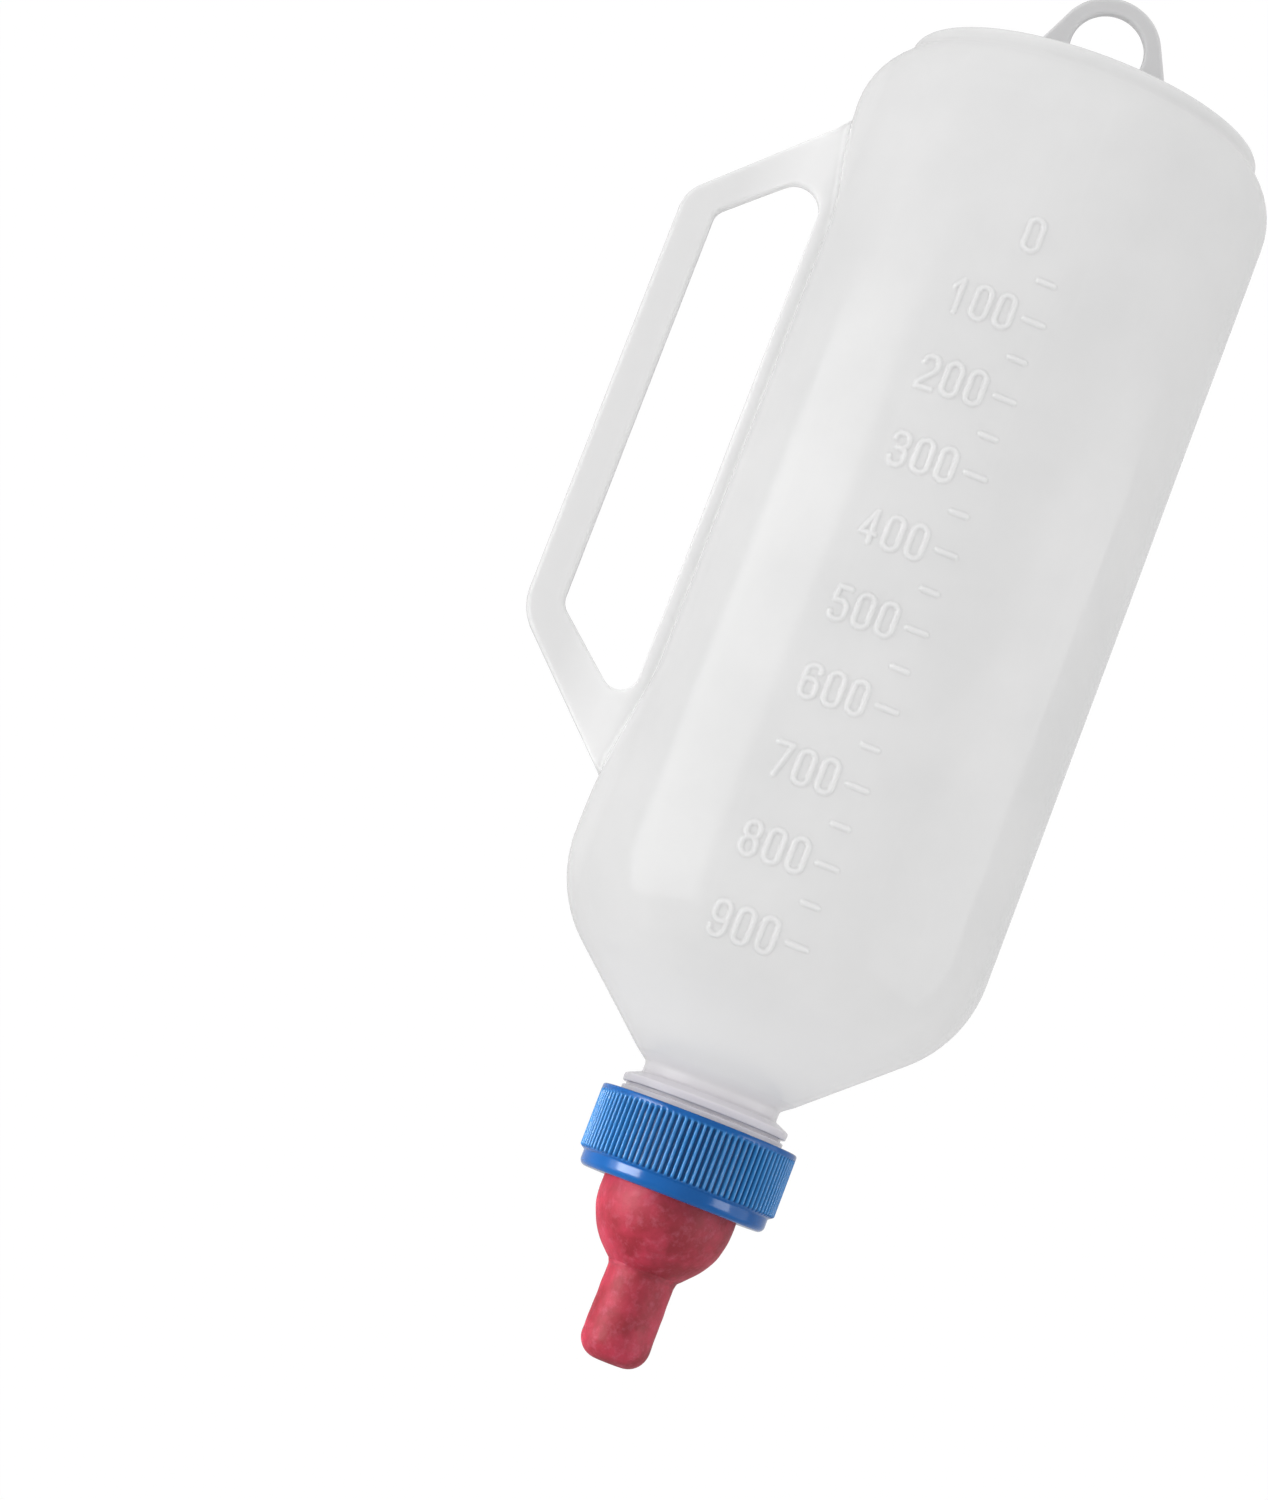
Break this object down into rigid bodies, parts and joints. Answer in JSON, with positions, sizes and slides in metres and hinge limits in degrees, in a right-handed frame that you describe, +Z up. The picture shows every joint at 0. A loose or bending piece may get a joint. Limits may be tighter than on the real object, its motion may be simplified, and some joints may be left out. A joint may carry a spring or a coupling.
{
  "type": "calf feeding bottle",
  "caption": "Translucent round feeding bottle with a flat side handle, a hanging loop on its base, a raised scale, a ribbed screw cap and a rubber teat.",
  "frame": {"origin": "centre of the round hole in the hanging loop, half way through the tab", "axes": "+Z up along the bottle's axis with the bottle hanging neck down, so the base is up and the teat is down; +Y towards the back; the scale faces -Y and the handle is on -X"},
  "size_m": [0.1177, 0.0908, 0.3058],
  "materials": {
    "bottle_plastic": "satin natural polyethylene, translucent",
    "cap_plastic": "semi-gloss blue moulding",
    "teat_rubber": "matt red rubber"
  },
  "bodies": {
    "bottle": {"bottle_body": "bottle_plastic", "neck_finish": "bottle_plastic", "carry_handle": "bottle_plastic", "hanging_loop": "bottle_plastic", "scale_numerals": "bottle_plastic", "scale_ticks": "bottle_plastic"},
    "teat_body": {"teat": "teat_rubber"},
    "cap_body": {"screw_cap": "cap_plastic"}
  },
  "joints": [
    {"name": "closure_travel", "type": "slide", "parent": "bottle", "child": "teat_body", "axis": [0, 0, -1], "range_m": [0, 0.01051]},
    {"name": "cap_turn", "type": "hinge", "parent": "teat_body", "child": "cap_body", "pos_m": [0, 0, -0.25], "axis": [0, 0, -1], "range_deg": [0, 945]}
  ],
  "couplings": [
    {"joint": "closure_travel", "follows": "cap_turn", "m_per_rad": 0.00063662}
  ]
}
